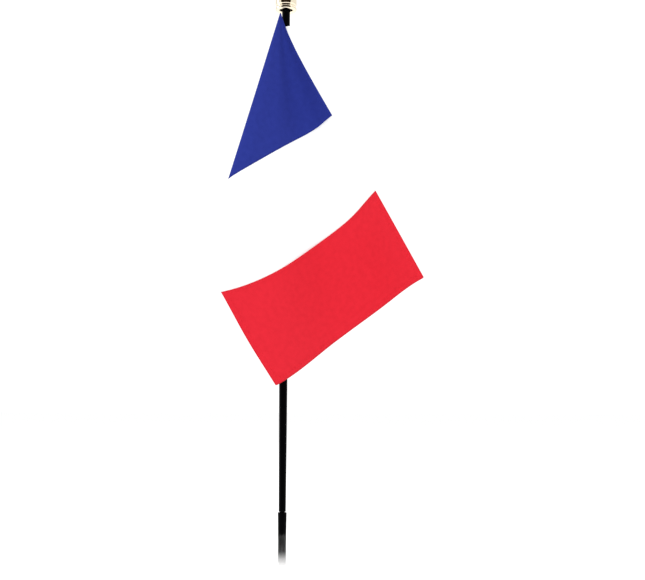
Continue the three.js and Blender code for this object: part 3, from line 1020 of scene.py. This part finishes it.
def makeSleeve():
    # the white hem round the staff, a little slack
    inner = staffHigh.x + sleeve["inner"] * mm
    outer = inner + sleeve["thickness"] * mm
    points, faces, uvs = [], [], []
    rows, steps = sleeve["rows"], sleeve["steps"]
    length = sleeveHigh.z - sleeveLow.z
    for side, radius in ((0, outer), (1, inner)):
        for row in range(rows + 1):
            depth = length / mm * row / rows
            for i in range(steps):
                turn = 2 * math.pi * i / steps
                waves = math.sin(3 * turn + depth * 0.21) * math.sin(depth * 0.5 + turn)
                slack = sleeve["slack"] * (1 + waves)
                endRoll = 0.08 * math.exp(-depth / 0.8)
                slant = sleeve["slant"] * (1 - math.cos(turn)) * math.exp(-depth / 6)
                reach = radius + (slack + endRoll) * mm * (1 if side == 0 else 0.3)
                level = sleeveHigh.z - (depth + slant) * mm
                points.append((reach * math.cos(turn), reach * math.sin(turn), level))
                uvs.append((turn * radius / mm / 100, depth / 100))
    layer = (rows + 1) * steps
    for side in (0, 1):
        for row in range(rows):
            for i in range(steps):
                j = (i + 1) % steps
                a = side * layer + row * steps
                quad = (a + i, a + steps + i, a + steps + j, a + j)
                faces.append(quad if side == 0 else tuple(reversed(quad)))
    for row in (0, rows):
        for i in range(steps):
            j = (i + 1) % steps
            a = row * steps
            quad = (a + i, a + j, layer + a + j, layer + a + i)
            faces.append(quad if row == 0 else tuple(reversed(quad)))
    mesh = meshFrom("hoist_sleeve", points, faces, uvs)
    return newPiece("hoist_sleeve", mesh, cloths["white"], "flag", ["pole_sleeve"])


def makeWeb():
    # one sheet for the sleeve's two layers, from the sleeve out to the hoist and behind it
    rows, step = sleeve["webRows"], flag["hemStep"]
    outer = staffHigh.x + (sleeve["inner"] + sleeve["thickness"] + sleeve["webGap"]) * mm
    top = (topCorner.z - sleeveHigh.z) / mm + sleeve["webInset"]
    bottom = flag["width"] - sleeve["webEnd"]
    points, faces, uvs = [], [], []
    for row in range(rows + 1):
        down = top + (bottom - top) * row / rows
        hoist = hung(0.0, down, -sleeve["webGap"])
        away = Vector((hoist.x, hoist.y, 0)).normalized()
        root = Vector((away.x * outer, away.y * outer, hoist.z))
        across = [root, root.lerp(hoist, 0.35), root.lerp(hoist, 0.7), hung(0.3, down, step * 0.6)]
        across += [hung(1.2, down, step), hung(sleeve["lap"], down, step)]
        for k, point in enumerate(across):
            points.append(point)
            uvs.append((k / 100, down / 100))
    columns = len(across)
    for row in range(rows):
        for k in range(columns - 1):
            a = row * columns + k
            faces.append((a, a + 1, a + columns + 1, a + columns))
    mesh = meshFrom("hoist_web", points, faces, uvs)
    piece = newPiece("hoist_web", mesh, cloths["white"], "flag", smoothAngle=180)
    thicken(piece)
    return piece


makeSleeve()
makeWeb()
makeHoistPanel()
makePanel("white_panel", "white", "flag_white", flag["blue"], redStart, last=False)
makePanel("red_panel", "red", "flag_red", redStart, flagEnd, last=True)

# rows of stitches, each from (along, down) to (along, down)
top, low = flag["hemRow"], flag["width"] - flag["hemRow"]
whiteRow, redRow = flag["blue"] + flag["seamRow"], redStart + flag["seamRow"]
flyRow = flagEnd - flag["hemRow"]
seamTop, hoistTop = 4, 12
makeStitching("blue_stitching", "blue", [
    ((flag["topHemStart"] + 2, top), (flag["blue"], top)),
    ((flag["bottomHemStart"] + 1, low), (flag["blue"], low)),
    ((flag["hoistRow"], hoistTop), (flag["hoistRow"], low)),
])
makeStitching("white_stitching", "white", [
    ((flag["blue"], top), (redStart, top)),
    ((flag["blue"], low), (redStart, low)),
    ((whiteRow, seamTop), (whiteRow, low)),
])
makeStitching("red_stitching", "red", [
    ((redStart, top), (flyRow, top)),
    ((redStart, low), (flyRow, low)),
    ((redRow, seamTop), (redRow, low)),
    ((flyRow, top), (flyRow, low)),
])
print("flag made")


# ---- floor and light

studio = {
    "floor": -0.2 * mm,      # just under the felt
    "floorReach": 14.0,
    "ambient": 1.0,
    "backdrop": 1.1,
    "front": 4.0,
    "top": 14.0,
    "side": 3.0,
    "cardAway": 0.35,
    "cardHeight": 1.1,
    "cardTurn": 104,         # degrees round the staff
    "cardFaces": 8,
}


def makeFloor():
    reach, level = studio["floorReach"], studio["floor"]
    points = [(-reach, -reach, level), (reach, -reach, level), (reach, reach, level), (-reach, reach, level)]
    mesh = meshFrom("floor", points, [(0, 1, 2, 3)])
    material, tree, shader = newFinish("paleFloorWithPaintedShadow", Roughness=0.9, Specular_IOR_Level=0.0)
    place = tree.nodes.new("ShaderNodeTexCoord")
    away = tree.nodes.new("ShaderNodeVectorMath")
    away.operation = "LENGTH"
    tree.links.new(place.outputs["Object"], away.inputs[0])
    # painted shadow: the floor is a little grey within 4 cm of the middle, fading to white 30 cm out, round
    # the base
    ring = spread(tree, away.outputs["Value"], 0.04, 0.3, 0, 1)
    tree.links.new(mixColour(tree, ring, (0.97, 0.97, 0.97, 1), (1, 1, 1, 1)), shader.inputs["Base Color"])
    floor = bpy.data.objects.new("floor", mesh)
    bpy.context.scene.collection.objects.link(floor)
    mesh.materials.append(material)


def areaLight(name, place, target, size, power):
    data = bpy.data.lights.new(name, "AREA")
    data.shape = "RECTANGLE"
    data.size, data.size_y = size
    data.energy = power
    light = bpy.data.objects.new(name, data)
    bpy.context.scene.collection.objects.link(light)
    light.location = place
    aim = Vector(target) - Vector(place)
    light.rotation_euler = aim.to_track_quat("-Z", "Y").to_euler()
    return light


def lightStudio():
    world = bpy.data.worlds.new("studio")
    bpy.context.scene.world = world
    world.use_nodes = True
    tree = world.node_tree
    background = tree.nodes["Background"]
    background.inputs["Color"].default_value = (1, 1, 1, 1)
    path = tree.nodes.new("ShaderNodeLightPath")
    strength = spread(tree, path.outputs["Is Camera Ray"], 0, 1, studio["ambient"], studio["backdrop"])
    tree.links.new(strength, background.inputs["Strength"])
    middle = (0, 0, 0.2)
    areaLight("frontSoft", (-0.35, -1.3, 0.75), middle, (1.2, 1.2), studio["front"])
    areaLight("topSoft", (0, 0.2, 1.6), (0, 0, 0), (2.4, 2.4), studio["top"])
    areaLight("leftStrip", (-1.1, 0.1, 0.35), (0, 0, 0.25), (0.12, 1.0), studio["side"])


def darkCard():
    # a dark opening in front, seen only in reflections, as a light tent has round its lens
    away, sweep, count = studio["cardAway"], studio["cardTurn"], studio["cardFaces"]
    points = []
    for i in range(count + 1):
        turn = math.radians(-sweep / 2 + sweep * i / count)
        for level in (0.0, studio["cardHeight"]):
            points.append((away * math.sin(turn), -away * math.cos(turn), level))
    faces = [(2 * i, 2 * i + 2, 2 * i + 3, 2 * i + 1) for i in range(count)]
    mesh = meshFrom("dark_card", points, faces)
    material, tree, shader = newFinish("cardBlack", Roughness=1.0, Specular_IOR_Level=0.0)
    shader.inputs["Base Color"].default_value = (0.02, 0.012, 0.008, 1)
    card = bpy.data.objects.new("dark_card", mesh)
    bpy.context.scene.collection.objects.link(card)
    mesh.materials.append(material)
    card.visible_camera = False
    card.visible_diffuse = False
    card.visible_shadow = False
    card.visible_transmission = False


makeFloor()
lightStudio()
darkCard()
bpy.context.scene.view_settings.view_transform = "Standard"
print("studio lit")
